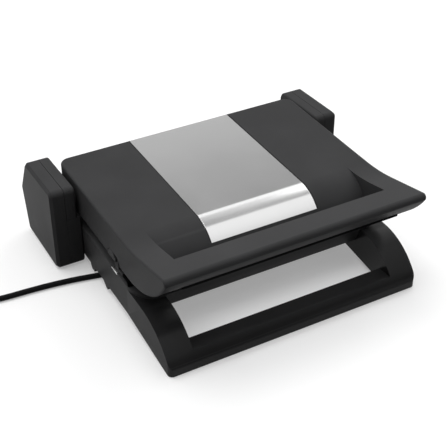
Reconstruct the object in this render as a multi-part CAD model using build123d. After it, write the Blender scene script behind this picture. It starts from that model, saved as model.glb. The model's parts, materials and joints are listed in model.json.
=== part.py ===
from build123d import *
import math
import os

# Contact grill (panini press) with a floating hinge that opens flat.
# Millimetres. X to the right, Y to the back, Z up; the origin is the middle of
# the footprint on the table. Every side outline is drawn as (y, z).

# --- Overall sizes -----------------------------------------------------------
overall_depth = 350.0        # front nose to the back of the hinge towers
overall_height = 134.0       # table to the top of the handle
body_width = 330.0           # base and front foot
lid_overhang = 1.0           # the lid is wider than the base by this much on each side
wall = 3.0                   # plastic housings

# --- Heights -----------------------------------------------------------------
ground_clearance = 12.0      # table to the underside of the base
base_height = 42.0           # underside of the base to its rim
rim_gap = 16.0               # base rim to lid rim, where the plates show
lid_height = 45.0            # lid rim to the flat top

# --- Depths ------------------------------------------------------------------
foot_reach = 83.0            # front nose to the lower edge of the base front
tower_overhang = 49.0        # base back wall to the back of the towers
base_front_lean = 12.0       # the base front leans out by this much at its rim
base_chin = 16.0             # height of the slope under the base front
base_chin_depth = 22.0
base_front_radius = 36.0     # plan corners of the base
base_rear_radius = 11.0

# --- Lid ---------------------------------------------------------------------
kink_from_nose = 116.0       # nose to the start of the finger recess, where the flat top ends
rise_run = 50.0              # length of the arc that leads from the flat top to the straight rise
bow_depth = 100.0            # how far the swept-up bow of the lid reaches
nose_drop = 5.5              # height of the nose of the handle
nose_depth = 4.0
nose_radius = 5.0            # both edges of the nose
nose_face_share = 0.96       # most of the nose face that its two roundings may take up
lid_rear_radius = 13.0
lid_edge_radius = 2.5
recess_width = 271.0         # finger recess between the two horns
handle_depth = 41.0          # handle bar, front to back
handle_bar_height = 25.0
fall_radius = 47.5           # convex front wall of the lid
fall_angle = 75.0
cover_thickness = 3.5
cover_inset = 4.0            # from the side of the lid to the handle cover

# --- Steel panel -------------------------------------------------------------
panel_width = 140.0
panel_thickness = 1.2
panel_groove = 1.5
panel_rear_gap = 1.5
panel_fall_angle = 50.5      # how far the panel follows the curved front wall
panel_gap = 0.3              # panel to the front and back ends of its bed

# --- Front foot --------------------------------------------------------------
leg_width = 33.0
leg_top_drop = 4.0           # top of the legs below the base rim
leg_seam = 27.0              # seam on the side, behind the lower edge of the base front
leg_arc_start = 67.0         # toe to the start of the curved front
toe_height = 10.0            # upright front of the toe
leg_rise = 12.0              # the underside rises to this height at the seam
bar_depth = 30.0
bar_height = 22.0
bar_fall = 2.0
bar_crown = 10.0             # toe to the highest line of the bar
toe_radius = 6.0

# --- Rubber feet -------------------------------------------------------------
foot_pad = 1.0               # table to the plastic over the front pads
pad_length = 20.0
pad_width = 12.0
pad_height = 5.0
pad_inset = 9.0              # toe to the front edge of a pad
rear_foot_height = 3.0
rear_foot_radius = 6.5
rear_foot_inset = 16.0       # ends of the tower floor to the middle of a foot
rear_foot_gap = 0.3
foot_chamfer = 0.6

# --- Hinge towers ------------------------------------------------------------
lid_tower_gap = 4.0          # lid side to the moving part of the tower
knuckle_thickness = 14.0     # moving part of the tower
tower_shell_width = 18.0     # outer shell
tower_depth = 114.0
tower_floor = 1.0            # table to the underside of the towers
tower_top_front = 113.0
tower_top_rear = 109.0
tower_rear_low = 12.0        # bottom back corner, ahead of the rearmost point
tower_rear_high = 26.0       # top back corner, ahead of the rearmost point
tower_waist = 62.0           # height of the rearmost point
tower_corner_radius = 7.0
tower_bevel = 3.5
inner_tower_radius = 3.0
seam_gap = 0.4               # running gap between the fixed and the moving tower parts
guide_plate_thickness = 3.0
guide_plate_inset = 3.0
guide_plate_gap = 0.2
tower_screw_inset = 30.0     # tower front to the screws that hold it to the base
tower_screw_rise = 12.0      # base floor to the lower screw
tower_screw_drop = 11.0      # base rim to the upper screw

# --- Floating hinge ----------------------------------------------------------
hinge_behind_lid = 13.0      # hinge axis behind the back of the lid
float_travel = 15.0
knuckle_rear = 12.0          # hinge axis to the back of the knuckle
knuckle_lug_radius = 12.0
hinge_pin_diameter = 8.0
pin_clearance = 0.05         # radial running fit
slider_depth = 16.0
slider_height = 22.0
slider_thickness = 9.0
slide_clearance = 0.3
boss_radius = 12.0
boss_insets = (22.0, 50.0)   # tower front to each boss
boss_rise = 19.0             # lid rim to the middle of the bosses
knuckle_clearance = 2.5      # fixed inner tower to the knuckle when it hangs down
bridge_rise = 6.0            # how far the bridge of the lug reaches up into the knuckle
slider_chamfer = 1.5
pin_head_radius = 6.0
pin_head_thickness = 2.0

# --- Grill plates ------------------------------------------------------------
plate_side_inset = 22.0      # base side to the plates
plate_front_inset = 11.0     # front rim of the base to the plates
plate_floor = 4.0            # casting thickness
plate_rim_height = 7.0
plate_rim_width = 5.0
plate_front_radius = 26.0
plate_rear_radius = 12.0
rib_height = 4.0
rib_root = 7.0
rib_tip = 3.5
rib_pitch = 15.0
rib_sink = 0.5               # how far a rib is rooted in the floor of the plate
gutter_width = 10.0
gutter_depth = 1.0
plate_gap = 0.4              # between the two plates when closed
plate_from_rear = 9.0        # back wall of the lid to the plates
plate_seat = 6.0             # width of the ledge that each plate rests on
bezel_thickness = 3.0
bezel_gap = 0.3

# --- Heating elements and reflectors -----------------------------------------
element_diameter = 6.5
element_inset = 28.0
element_radius = 23.5
element_turn = 24.0          # room for one bend of the element
element_end_turns = 3        # bends' room from the side of the loop to its two ends
reflector_thickness = 0.8
reflector_depth = 10.0
reflector_inset = 8.0

# --- Underside ---------------------------------------------------------------
bottom_cover_thickness = 2.5
bottom_cover_gap = 0.3
hook_depth = 7.0
hook_width = 15.0
cord_hooks = [(36.5, 4.0, 3.0), (-3.5, 9.0, 3.5)]   # middle, rear slope, front slope
boss_size = 16.0
boss_gap = 0.7
boss_clearance = 1.0         # table to the cord boss
screw_head_radius = 3.5
screw_head_height = 2.2
screw_shank_radius = 1.6
screw_shank_length = 8.0
screw_clearance = 0.1
screw_post_radius = 4.5
screw_post_inset = 10.0

# --- Inside the base ---------------------------------------------------------
thermostat_offset = 40.0     # middle of the plates to the thermostat
thermostat_radius = 8.5
thermostat_height = 8.0
blade_pitch = 10.0
blade_width = 6.0
blade_thickness = 0.8
blade_length = 7.0
terminal_from_gland = 40.0
terminal_length = 34.0
terminal_depth = 16.0
terminal_height = 12.0
terminal_pitch = 10.0
terminal_hole_radius = 2.4
terminal_hole_depth = 4.0
housing_gap = 0.2

# --- Lid lock ----------------------------------------------------------------
lock_from_hinge = 170.0      # hinge axis to the middle of the lock
lock_length = 22.0
lock_height = 11.0
lock_thickness = 2.5
lock_travel = 12.0
lock_gap = 0.4
lock_back_step = 0.2         # tab to the inner face of the lid wall
lock_shoulder = 7.0          # length of the sloped ends of the tab
lock_shoulder_drop = 6.6     # height of the sloped ends of the tab
lock_hook_height = 3.5
lock_toe = 13.0              # how far the toe of the hook reaches ahead
lock_neck = 4.0              # from the ends of the tab to its neck
lock_lift = 1.0              # base rim to the hook
lock_clearance = 1.0         # toe of the hook to the keeper when unlocked
keeper_arm = 3.5
keeper_depth = 6.0
keeper_inset = 1.0           # base side to the keeper
keeper_post = 3.0

# --- Power cord --------------------------------------------------------------
cord_diameter = 7.0
cord_arc_share = 0.45        # of the shorter run beside a corner, taken by its arc
cord_points = [
    (-92.0, 11.0, 5.5), (-111.0, 13.0, 4.9), (-134.0, 18.3, 3.6), (-161.0, 24.6, 3.5),
    (-198.0, 32.6, 3.5), (-240.0, 37.5, 3.5), (-284.0, 39.5, 3.5), (-322.0, 47.0, 3.5),
    (-350.0, 67.0, 3.5), (-364.0, 93.0, 3.5), (-370.0, 117.0, 3.5),
]
gland_length = 26.0
gland_radius_small = 4.6
gland_radius_large = 5.5
coil_mid_radius = 38.0
coil_section = 14.2
plug_length = 38.0
plug_width = 30.0
plug_height = 17.0
plug_radius = 5.0
plug_gap = 0.3               # coil to plug
plug_ahead = 8.0             # middle of the coil to the cord end of the plug
plug_pin_length = 19.0
plug_pin_diameter = 4.8
plug_pin_pitch = 19.0

# --- Places worked out from the sizes ----------------------------------------
front_y = -overall_depth / 2
rear_y = overall_depth / 2
half_body = body_width / 2
half_lid = half_body + lid_overhang
half_recess = recess_width / 2
tower_inner_x = half_lid + lid_tower_gap
shell_inner_x = tower_inner_x + knuckle_thickness
half_span = shell_inner_x + tower_shell_width
base_floor = ground_clearance
base_rim = base_floor + base_height
lid_rim = base_rim + rim_gap
lid_top = lid_rim + lid_height
base_front = front_y + foot_reach
base_rear = rear_y - tower_overhang
lid_rear = base_rear
kink_y = front_y + kink_from_nose
bow_start = front_y + bow_depth
handle_rear = front_y + handle_depth
hinge_y = lid_rear + hinge_behind_lid
hinge_z = overall_height / 2
tower_front = rear_y - tower_depth
plate_width = body_width - 2 * plate_side_inset
plate_rear = lid_rear - plate_from_rear
plate_front = base_front - base_front_lean + plate_front_inset
plate_depth = plate_rear - plate_front
plate_middle = plate_rear - plate_depth / 2
lower_plate_base = base_rim
split_z = lower_plate_base + plate_floor + rib_height
upper_plate_base = split_z + plate_gap + rib_height + plate_floor


# --- Helpers -----------------------------------------------------------------
def slab(outline, low_x, high_x):
    """Extrude a closed side outline, drawn as (y, z), from low_x to high_x."""
    face = Plane.YZ.offset(low_x) * outline
    if not face.faces():
        face = make_face(face)
    return extrude(face, high_x - low_x, dir=(1, 0, 0))


def block(low, high):
    """A box between two opposite corners."""
    size = [b - a for a, b in zip(low, high)]
    return Pos(*low) * Box(*size, align=(Align.MIN, Align.MIN, Align.MIN))


def rod(start, end, radius):
    """A round rod from one point to another."""
    run = Vector(*end) - Vector(*start)
    return extrude(Plane(origin=start, z_dir=run) * Circle(radius), run.length)


def both_sides(solid):
    """The solid and its mirror image across the middle of the object."""
    return [solid, mirror(solid, about=Plane.YZ)]


def vertical_edges(solid, at_y, tolerance=0.5):
    """Upright edges of a solid at one depth."""
    edges = solid.edges().filter_by(Axis.Z)
    return edges.filter_by_position(Axis.Y, at_y - tolerance, at_y + tolerance)


def arc_drop(radius, run):
    """How far an arc has dropped from its tangent after a run along it."""
    return radius - math.sqrt(radius**2 - run**2)


def tangent_radius(run, rise):
    """Radius of the arc that leaves its tangent by rise after run."""
    return (run**2 + rise**2) / (2 * rise)


def fall_point(angle, shrink=0.0):
    """Point on the convex front wall of the lid, at an angle round from the kink."""
    turn = math.radians(angle)
    y = kink_y - (fall_radius - shrink) * math.sin(turn)
    z = lid_top - fall_radius + (fall_radius - shrink) * math.cos(turn)
    return (y, z)


def screw(seat, direction, clearance=0.0):
    """Pan-head screw with its head on the seat and its shank along direction."""
    along = Vector(*direction)
    head_top = Vector(*seat) - along * screw_head_height
    head = rod(head_top, seat, screw_head_radius + clearance)
    end = Vector(*seat) + along * (screw_shank_length + clearance)
    return head + rod(seat, end, screw_shank_radius + clearance)


def screw_group(places):
    """One screw at each place, as separate solids."""
    return Compound(children=[screw(seat, direction) for seat, direction in places])


def screw_holes(places):
    """The room of one screw at each place."""
    return [screw(seat, direction, screw_clearance) for seat, direction in places]


# --- Base --------------------------------------------------------------------
def base_outline():
    """Side outline of the base: upright back, leaning front, sloped chin."""
    return Polyline(
        (base_rear, base_floor), (base_rear, base_rim),
        (base_front - base_front_lean, base_rim),
        (base_front, base_floor + base_chin),
        (base_front + base_chin_depth, base_floor), close=True)


def base_block(inset=0.0):
    """Solid envelope of the base, with its plan corners rounded."""
    side = offset(make_face(base_outline()), -inset, kind=Kind.INTERSECTION) if inset else base_outline()
    envelope = slab(side, -half_body + inset, half_body - inset)
    front = base_front - base_front_lean + inset
    rear = base_rear - inset
    plan = Rectangle(body_width - 2 * inset, rear - front)
    plan = fillet(plan.vertices().group_by(Axis.Y)[0], base_front_radius - inset)
    plan = fillet(plan.vertices().group_by(Axis.Y)[-1], base_rear_radius - inset)
    return envelope & extrude(Pos(0, (front + rear) / 2, 0) * plan, overall_height)


def plate_plan(inset=0.0):
    """Plan outline of a plate, centred, with wider corners at the front."""
    plan = Rectangle(plate_width - 2 * inset, plate_depth - 2 * inset)
    plan = fillet(plan.vertices().group_by(Axis.Y)[0], plate_front_radius - inset)
    return fillet(plan.vertices().group_by(Axis.Y)[-1], plate_rear_radius - inset)


def plate_prism(inset, low, high):
    """Prism of the plate's plan outline in its place."""
    return extrude(Pos(0, plate_middle, low) * plate_plan(inset), high - low)


def base_shell():
    """Lower housing: a walled tub with a deck round the plate, open below."""
    shell = base_block()
    deck_low = base_rim - wall
    shell -= base_block(inset=wall)
    shell -= cover_opening(0.0, base_floor - 1, base_floor + 2 * wall)
    shell -= plate_prism(plate_seat, deck_low - 1, base_rim + 1)
    cover_top = base_floor + bottom_cover_thickness
    for (x, y, _), _ in bottom_screw_places():
        shell += rod((x, y, cover_top), (x, y, deck_low), screw_post_radius)
    for middle_y, rear_slope, front_slope in cord_hooks:
        outline = cord_hook_outline(middle_y, rear_slope, front_slope)
        hook = slab(outline, -half_body, -half_body + wall)
        for solid in both_sides(hook):
            shell += solid
    return shell - screw_holes(bottom_screw_places()) - screw_holes(tower_screw_places())


def leg_outline(inset=0.0, low=0.0):
    """Side outline of a front leg: flat top, one long arc, upright toe."""
    top = base_rim - leg_top_drop
    arc_start = front_y + leg_arc_start
    radius = tangent_radius(leg_arc_start, top - toe_height)
    toe_z = top - arc_drop(radius, leg_arc_start - inset)
    seam_y = base_front + leg_seam
    lines = Polyline((arc_start, top - inset), (seam_y, top - inset), (seam_y, leg_rise + low),
                     (front_y + inset, low), (front_y + inset, toe_z))
    arc = TangentArc((arc_start, top - inset), (front_y + inset, toe_z), tangent=(-1, 0))
    return lines + arc


def foot_frame_solid(inset=0.0, low=0.0):
    """Two legs and the bar between their toes."""
    leg = slab(leg_outline(inset, low), half_body - leg_width + inset, half_body - inset)
    legs = both_sides(leg)
    bar_rear = front_y + bar_depth
    reach = block((-half_body + leg_width, front_y, low),
                  (half_body - leg_width, bar_rear - inset, bar_height))
    full = slab(leg_outline(inset, low), -half_body + inset, half_body - inset)
    top_cut = slab(Polyline(
        (front_y - 1, bar_height - inset), (front_y + bar_crown, bar_height - inset),
        (bar_rear, bar_height - bar_fall - inset), (bar_rear + 1, overall_height),
        (front_y - 1, overall_height), close=True), -half_body, half_body)
    bar = (full & reach) - top_cut
    return legs[0] + legs[1] + bar


def front_foot_frame():
    """U-shaped front foot, hollow from below, with posts for its rubber pads."""
    frame = foot_frame_solid()
    frame = fillet(vertical_corner(frame), toe_radius)
    hollow_rear = base_front - base_front_lean - wall
    hollow = foot_frame_solid(inset=wall, low=-wall) & block(
        (-half_body, front_y, -wall), (half_body, hollow_rear, overall_height))
    frame -= hollow
    frame -= base_block()
    frame -= block((-half_body, front_y - 1, -1), (half_body, pad_front() + 2 * pad_width, foot_pad))
    envelope = foot_frame_solid()
    for x in pad_places():
        frame += envelope & block((x - pad_length / 2, pad_front(), pad_height),
                                  (x + pad_length / 2, pad_front() + pad_width, base_rim))
    return frame


def vertical_corner(frame):
    """The two outer upright edges of the toe."""
    return vertical_edges(frame, front_y, 0.1)


def pad_places():
    """Middle of each front pad, left and right."""
    x = half_body - leg_width / 2
    return (-x, x)


def pad_front():
    """Front edge of the front pads."""
    return front_y + pad_inset


def front_foot_pads():
    """Rubber pads under the posts of the front foot."""
    pads = []
    for x in pad_places():
        pad = block((x - pad_length / 2, pad_front(), 0),
                    (x + pad_length / 2, pad_front() + pad_width, pad_height))
        pads.append(chamfer(pad.faces().sort_by(Axis.Z)[0].edges(), foot_chamfer))
    return Compound(children=pads)


def cord_hook_outline(middle_y, rear_slope, front_slope):
    """Trapezoid lug under the base edge that keeps the stored cord in."""
    half = hook_width / 2
    low = base_floor - hook_depth
    return Polyline((middle_y + half, base_floor), (middle_y + half - rear_slope, low),
                    (middle_y - half + front_slope, low), (middle_y - half, base_floor), close=True)


def cover_opening(gap, low, high):
    """Prism of the opening under the base, made smaller by a gap."""
    half = half_body - wall - gap
    front = base_front + base_chin_depth + wall + gap
    rear = base_rear - wall - gap
    corner = base_rear_radius - wall - gap
    plan = RectangleRounded(2 * half, rear - front, corner)
    return extrude(Pos(0, (front + rear) / 2, low) * plan, high - low)


def base_bottom_cover():
    """Flat cover under the base, with the boss of the strain relief."""
    cover = cover_opening(bottom_cover_gap, base_floor, base_floor + bottom_cover_thickness)
    start = gland_start()
    cover += block((start.X + boss_gap, start.Y - boss_size / 2, boss_clearance),
                   (start.X + boss_gap + boss_size, start.Y + boss_size / 2, base_floor))
    return cover - screw_holes(bottom_screw_places())


def bottom_screw_places():
    """Seat and direction of each screw of the bottom cover."""
    x = half_body - wall - screw_post_inset
    depths = (base_rear - wall - screw_post_inset, base_front + base_chin_depth + 2 * screw_post_inset)
    return [((side * x, y, base_floor), (0, 0, 1)) for side in (-1, 1) for y in depths]


def bottom_cover_screws():
    """Screws up through the bottom cover into the posts of the base."""
    return screw_group(bottom_screw_places())


# --- Hinge towers ------------------------------------------------------------
def tower_face(inset=0.0):
    """Side outline of a tower: upright front, level top, back in two slopes."""
    low = tower_floor
    points = [(tower_front, low), (tower_front, tower_top_front),
              (rear_y - tower_rear_high, tower_top_rear), (rear_y, tower_waist),
              (rear_y - tower_rear_low, low)]
    face = make_face(Polyline(*points, close=True))
    face = fillet(face.vertices(), tower_corner_radius)
    return offset(face, -inset) if inset else face


def tower_slab(inset, low_x, high_x):
    """Extrude the tower outline between two planes."""
    return slab(tower_face(inset), low_x, high_x)


def outer_tower():
    """Outer shell of the right tower: the channel of the slider, pockets for the feet."""
    shell = tower_slab(0, shell_inner_x, half_span)
    shell = chamfer(shell.faces().sort_by(Axis.X)[-1].edges(), tower_bevel)
    shell -= tower_slab(guide_plate_inset, shell_inner_x - 1, shell_inner_x + guide_plate_thickness)
    channel_low = shell_inner_x + guide_plate_thickness
    channel_high = channel_low + slider_thickness + 2 * slide_clearance
    shell -= block((channel_low - 1, hinge_y - slider_depth / 2 - slide_clearance,
                    hinge_z - slider_height / 2 - slide_clearance),
                   (channel_high, hinge_y + slider_depth / 2 + slide_clearance,
                    hinge_z + slider_height / 2 + float_travel + slide_clearance))
    for y in rear_foot_places():
        pocket = Pos(rear_foot_x(), y, 0) * Cylinder(
            rear_foot_radius + rear_foot_gap, rear_foot_height, align=(Align.CENTER, Align.CENTER, Align.MIN))
        shell -= pocket
    return shell


def guide_plate():
    """Inner plate of the right tower, with the upright slot of the hinge pin."""
    plate = tower_slab(guide_plate_inset + guide_plate_gap, shell_inner_x,
                       shell_inner_x + guide_plate_thickness)
    slot_width = hinge_pin_diameter + 2 * slide_clearance
    slot = SlotCenterToCenter(float_travel, slot_width, rotation=90)
    slot_plane = Plane(origin=(shell_inner_x - 1, hinge_y, hinge_z + float_travel / 2),
                       x_dir=(0, 1, 0), z_dir=(1, 0, 0))
    return plate - extrude(slot_plane * slot, guide_plate_thickness + 2)


def inner_tower_rear():
    """Back of the fixed inner tower: clear of the knuckle when it hangs down."""
    return hinge_y - knuckle_rear - knuckle_clearance


def inner_tower():
    """Fixed lower inner part of the right tower, screwed to the base side."""
    body = tower_slab(0, half_body, shell_inner_x)
    keep = block((half_body, tower_front - 1, 0), (shell_inner_x, inner_tower_rear(), lid_rim))
    body &= keep
    edge = body.edges().filter_by(Axis.Z).sort_by(Axis.Y)[:2].sort_by(Axis.X)[0]
    return fillet(edge, inner_tower_radius) - screw_holes(tower_screw_places())


def knuckle_body():
    """Moving upper inner part of the right tower, with the lug of the hinge."""
    low_z = lid_rim + seam_gap
    body = tower_slab(0, tower_inner_x, shell_inner_x - seam_gap)
    body &= block((tower_inner_x, tower_front - 1, low_z),
                  (shell_inner_x, hinge_y + knuckle_rear, overall_height))
    lug = rod((tower_inner_x, hinge_y, hinge_z), (shell_inner_x - seam_gap, hinge_y, hinge_z),
              knuckle_lug_radius)
    bridge = block((tower_inner_x, hinge_y - knuckle_lug_radius, hinge_z),
                   (shell_inner_x - seam_gap, hinge_y + knuckle_rear, low_z + bridge_rise))
    body = body + lug + bridge
    edge = body.edges().filter_by(Axis.Z).sort_by(Axis.Y)[:2].sort_by(Axis.X)[0]
    return fillet(edge, inner_tower_radius)


def knuckle():
    """Knuckle with its bosses against the lid side and its bore for the pin."""
    body = knuckle_body()
    for y in boss_places():
        body += rod((half_lid, y, boss_height()), (tower_inner_x + 1, y, boss_height()), boss_radius)
    bore = rod((tower_inner_x - 1, hinge_y, hinge_z), (shell_inner_x + 1, hinge_y, hinge_z),
               hinge_pin_diameter / 2 + pin_clearance)
    return body - bore - screw_holes(knuckle_screw_places())


def boss_places():
    """The two fixing bosses between a knuckle and the lid side."""
    return [tower_front + inset for inset in boss_insets]


def boss_height():
    """Height of the fixing bosses."""
    return lid_rim + boss_rise


def knuckle_screw_places():
    """Seat and direction of each screw from inside the lid into a knuckle."""
    return [((side * (half_lid - wall), y, boss_height()), (side, 0, 0))
            for side in (-1, 1) for y in boss_places()]


def knuckle_screws():
    """Screws from inside the lid through its side into the knuckles."""
    return screw_group(knuckle_screw_places())


def hinge_slider():
    """Right sliding block with its hinge pin and retaining head."""
    low_x = shell_inner_x + guide_plate_thickness + slide_clearance
    body = block((low_x, hinge_y - slider_depth / 2, hinge_z - slider_height / 2),
                 (low_x + slider_thickness, hinge_y + slider_depth / 2, hinge_z + slider_height / 2))
    return chamfer(body.edges().filter_by(Axis.X), slider_chamfer)


def hinge_pin():
    """Right hinge pin, from the slider through the knuckle to its head."""
    low_x = tower_inner_x - pin_head_thickness - slide_clearance
    high_x = shell_inner_x + guide_plate_thickness + slide_clearance
    pin = rod((low_x, hinge_y, hinge_z), (high_x, hinge_y, hinge_z), hinge_pin_diameter / 2)
    head = rod((low_x, hinge_y, hinge_z), (low_x + pin_head_thickness, hinge_y, hinge_z),
               pin_head_radius)
    return pin + head


def tower_screw_places():
    """Seat and direction of each screw from inside the base into a tower."""
    heights = (base_floor + tower_screw_rise, base_rim - tower_screw_drop)
    return [((side * (half_body - wall), tower_front + tower_screw_inset, z), (side, 0, 0))
            for side in (-1, 1) for z in heights]


def tower_screws():
    """Screws from inside the base through its side into the towers."""
    return screw_group(tower_screw_places())


def rear_foot_x():
    """Middle of the rear feet across the right tower."""
    return half_span - tower_shell_width / 2


def rear_foot_places():
    """Middle of the two rear feet along a tower."""
    return (tower_front + rear_foot_inset, rear_y - tower_rear_low - rear_foot_inset)


def rear_feet():
    """Rubber feet in the pockets under the towers."""
    feet = []
    for y in rear_foot_places():
        foot = Pos(rear_foot_x(), y, 0) * Cylinder(
            rear_foot_radius, rear_foot_height, align=(Align.CENTER, Align.CENTER, Align.MIN))
        foot = chamfer(foot.faces().sort_by(Axis.Z)[0].edges(), foot_chamfer)
        feet += both_sides(foot)
    return Compound(children=feet)


# --- Lid ---------------------------------------------------------------------
def rise_point():
    """Where the arc from the flat top passes into the straight rise to the handle."""
    run = kink_y - (front_y + nose_depth)
    slope = (overall_height - lid_top) / (run - rise_run / 2)
    return (kink_y - rise_run, lid_top + slope * rise_run / 2)


def bow_radius():
    """Radius of the underside of the bow."""
    return tangent_radius(bow_start - front_y, overall_height - nose_drop - lid_rim)


def nose_room():
    """Largest rounding that the nose face has room for at both of its edges."""
    lean = math.atan2(nose_drop, nose_depth)
    rise = math.atan2(overall_height - lid_top, kink_y - front_y - nose_depth - rise_run / 2)
    bow = 2 * math.atan2(overall_height - nose_drop - lid_rim, bow_start - front_y)
    taken = math.tan((lean + rise) / 2) + math.tan((math.pi - lean - bow) / 2)
    return nose_face_share * math.hypot(nose_depth, nose_drop) / taken


def lid_outline():
    """Side outline of the lid with its swept-up bow and its nose."""
    nose_low = (front_y, overall_height - nose_drop)
    nose_top = (front_y + nose_depth, overall_height)
    straight = Polyline((bow_start, lid_rim), (lid_rear, lid_rim), (lid_rear, lid_top), (kink_y, lid_top))
    rise = TangentArc((kink_y, lid_top), rise_point(), tangent=(-1, 0))
    nose = Polyline(rise_point(), nose_top, nose_low)
    bow = TangentArc((bow_start, lid_rim), nose_low, tangent=(-1, 0))
    return straight + rise + nose + bow


def lid_block():
    """Solid envelope of the lid with its rounded corners and top edges."""
    body = slab(lid_outline(), -half_lid, half_lid)
    body = fillet(vertical_edges(body, lid_rear), lid_rear_radius)
    nose = body.edges().filter_by(Axis.X).filter_by_position(Axis.Y, front_y - 1, front_y + nose_depth + 1)
    body = fillet(nose, min(nose_radius, nose_room()))
    top_edges = [edge for edge in body.edges()
                 if edge.center().Z > lid_top - 1 and abs(edge.center().X) > half_lid - lid_rear_radius]
    return fillet(top_edges, lid_edge_radius)


def fall_outline(shrink, low, rear):
    """Side outline of all that lies behind the convex front wall of the lid."""
    end = fall_point(fall_angle, shrink)
    slope = math.tan(math.radians(90 - fall_angle))
    foot = (end[0] - (end[1] - low) * slope, low)
    start = fall_point(0, shrink)
    middle = fall_point(fall_angle / 2, shrink)
    lines = Polyline(end, foot, (rear, low), (rear, start[1]), start)
    return lines + ThreePointArc(start, middle, end)


def finger_recess():
    """Opening between the lid body and the handle bar, where the fingers go."""
    body = slab(fall_outline(0.0, lid_rim - 2, kink_y + wall), -half_recess, half_recess)
    region = block((-half_recess, handle_rear, lid_rim - 2),
                   (half_recess, kink_y, overall_height + 5))
    return region - body


def handle_underside():
    """What is cut away under the handle bar between the horns."""
    return block((-half_recess, front_y - 1, lid_rim - 2),
                 (half_recess, handle_rear + 1, overall_height - nose_drop - handle_bar_height))


def panel_recess():
    """Shallow bed of the steel panel with a groove on each side of it."""
    half = panel_width / 2 + panel_groove
    outer = slab(fall_outline(-1.0, lid_rim - wall, lid_rear + wall), -half, half)
    inner = slab(fall_outline(panel_thickness, lid_rim - wall, lid_rear + wall), -half, half)
    reach = block((-half, kink_y - fall_radius * 2, panel_end()[1]),
                  (half, lid_rear - panel_rear_gap, lid_top + 1))
    return (outer - inner) & reach


def panel_end():
    """Lower end of the steel panel on the convex front wall."""
    return fall_point(panel_fall_angle)


def lid_cavity():
    """Room inside the lid for the plate, the element and the reflector."""
    half = half_lid - wall
    return slab(fall_outline(wall, lid_rim - 1, lid_rear - wall), -half, half)


def cover_band(gap=0.0):
    """Room along the underside of the horns and the bar for the handle cover."""
    radius = bow_radius()
    centre = (bow_start, lid_rim + radius)
    outer = Pos(0, *centre) * Rot(0, 90, 0) * Cylinder(radius + cover_thickness, 2 * half_lid)
    inner = Pos(0, *centre) * Rot(0, 90, 0) * Cylinder(radius - cover_thickness + gap, 2 * half_lid)
    limit = block((-half_lid + cover_inset + gap, cover_front() + gap, lid_rim - 5),
                  (half_lid - cover_inset - gap, cover_rear() - gap, overall_height))
    return (outer - inner) & limit


def cover_front():
    """Front edge of the handle cover, the parting line under the nose."""
    radius = bow_radius()
    drop = lid_rim + radius - (overall_height - nose_drop - handle_bar_height + cover_thickness)
    return bow_start - math.sqrt(radius**2 - drop**2)


def cover_rear():
    """Back edge of the handle cover under the horns."""
    return kink_y - fall_radius * math.sin(math.radians(fall_angle)) - wall - 2


def lid_shell():
    """Upper housing with its horns, handle bar, finger recess and panel bed."""
    shell = lid_block()
    shell -= finger_recess()
    shell -= handle_underside()
    shell -= lid_cavity()
    shell -= panel_recess()
    shell -= cover_band() - bar_zone()
    shell -= bar_cover_room()
    shell -= lock_room()
    return shell - screw_holes(knuckle_screw_places())


def bar_zone():
    """The part of the lid between the horns."""
    return block((-half_recess, front_y - 1, 0), (half_recess, kink_y, overall_height))


def bar_cover_room(gap=0.0):
    """Bed of the handle cover under the bar."""
    low = overall_height - nose_drop - handle_bar_height
    return block((-half_recess - wall, cover_front() + gap, low),
                 (half_recess + wall, handle_rear - wall - gap, low + cover_thickness - gap))


def handle_lower_cover():
    """Glossy cover under the bar and the two horns."""
    gap = housing_gap
    horns = (cover_band(gap) - bar_zone()) & lid_block()
    return horns + bar_cover_room(gap)


def lid_bezel():
    """Ring that closes the lid round the upper plate, notched for the lock."""
    low = upper_plate_base
    ring = slab(fall_outline(wall + bezel_gap, low, lid_rear - wall - bezel_gap),
                -half_lid + wall + bezel_gap, half_lid - wall - bezel_gap)
    ring &= block((-half_lid, front_y, low), (half_lid, lid_rear, low + bezel_thickness))
    ring -= plate_prism(plate_seat, low - 1, low + bezel_thickness + 1)
    notch = block((-half_lid, lock_middle() - lock_length / 2 - lock_travel - 2 * lock_gap, low - 1),
                  (-half_lid + wall + lock_thickness + 2 * lock_gap, lock_middle() + lock_length / 2 + 2,
                   low + bezel_thickness + 1))
    return ring - notch


def steel_panel():
    """Brushed steel sheet over the lid top and down its curved front."""
    half = panel_width / 2
    outer = slab(fall_outline(0.0, lid_rim - wall, lid_rear + wall), -half, half)
    inner = slab(fall_outline(panel_thickness, lid_rim - wall, lid_rear + wall), -half, half)
    reach = block((-half, kink_y - fall_radius * 2, panel_end()[1] + panel_gap),
                  (half, lid_rear - panel_rear_gap - panel_gap, lid_top + 1))
    return (outer - inner) & reach


# --- Grill plates ------------------------------------------------------------
def rib_outline():
    """Section of one rib, drawn as (x, z) from the cooking floor."""
    return Polyline((-rib_root / 2, -rib_sink), (rib_root / 2, -rib_sink), (rib_tip / 2, rib_height),
                    (-rib_tip / 2, rib_height), close=True)


def rib_places():
    """Middle of each rib across the plate."""
    usable = plate_width - 2 * (plate_rim_width + gutter_width) - rib_root
    count = int(usable // rib_pitch) + 1
    return [(i - (count - 1) / 2) * rib_pitch for i in range(count)]


def grill_plate():
    """Die-cast plate lying on z = 0: floor, rim, gutter and ribs facing up."""
    field_inset = plate_rim_width + gutter_width
    plate = extrude(plate_plan(), plate_rim_height)
    plate -= Pos(0, 0, plate_floor) * extrude(plate_plan(plate_rim_width), plate_rim_height)
    field = Rectangle(plate_width - 2 * field_inset, plate_depth - 2 * field_inset)
    gutter = extrude(plate_plan(plate_rim_width), plate_rim_height) - extrude(field, plate_rim_height)
    plate -= Pos(0, 0, plate_floor - gutter_depth) * gutter
    rib = grill_rib(plate_depth - 2 * field_inset)
    return plate + [Pos(x, 0, plate_floor) * rib for x in rib_places()]


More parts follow.
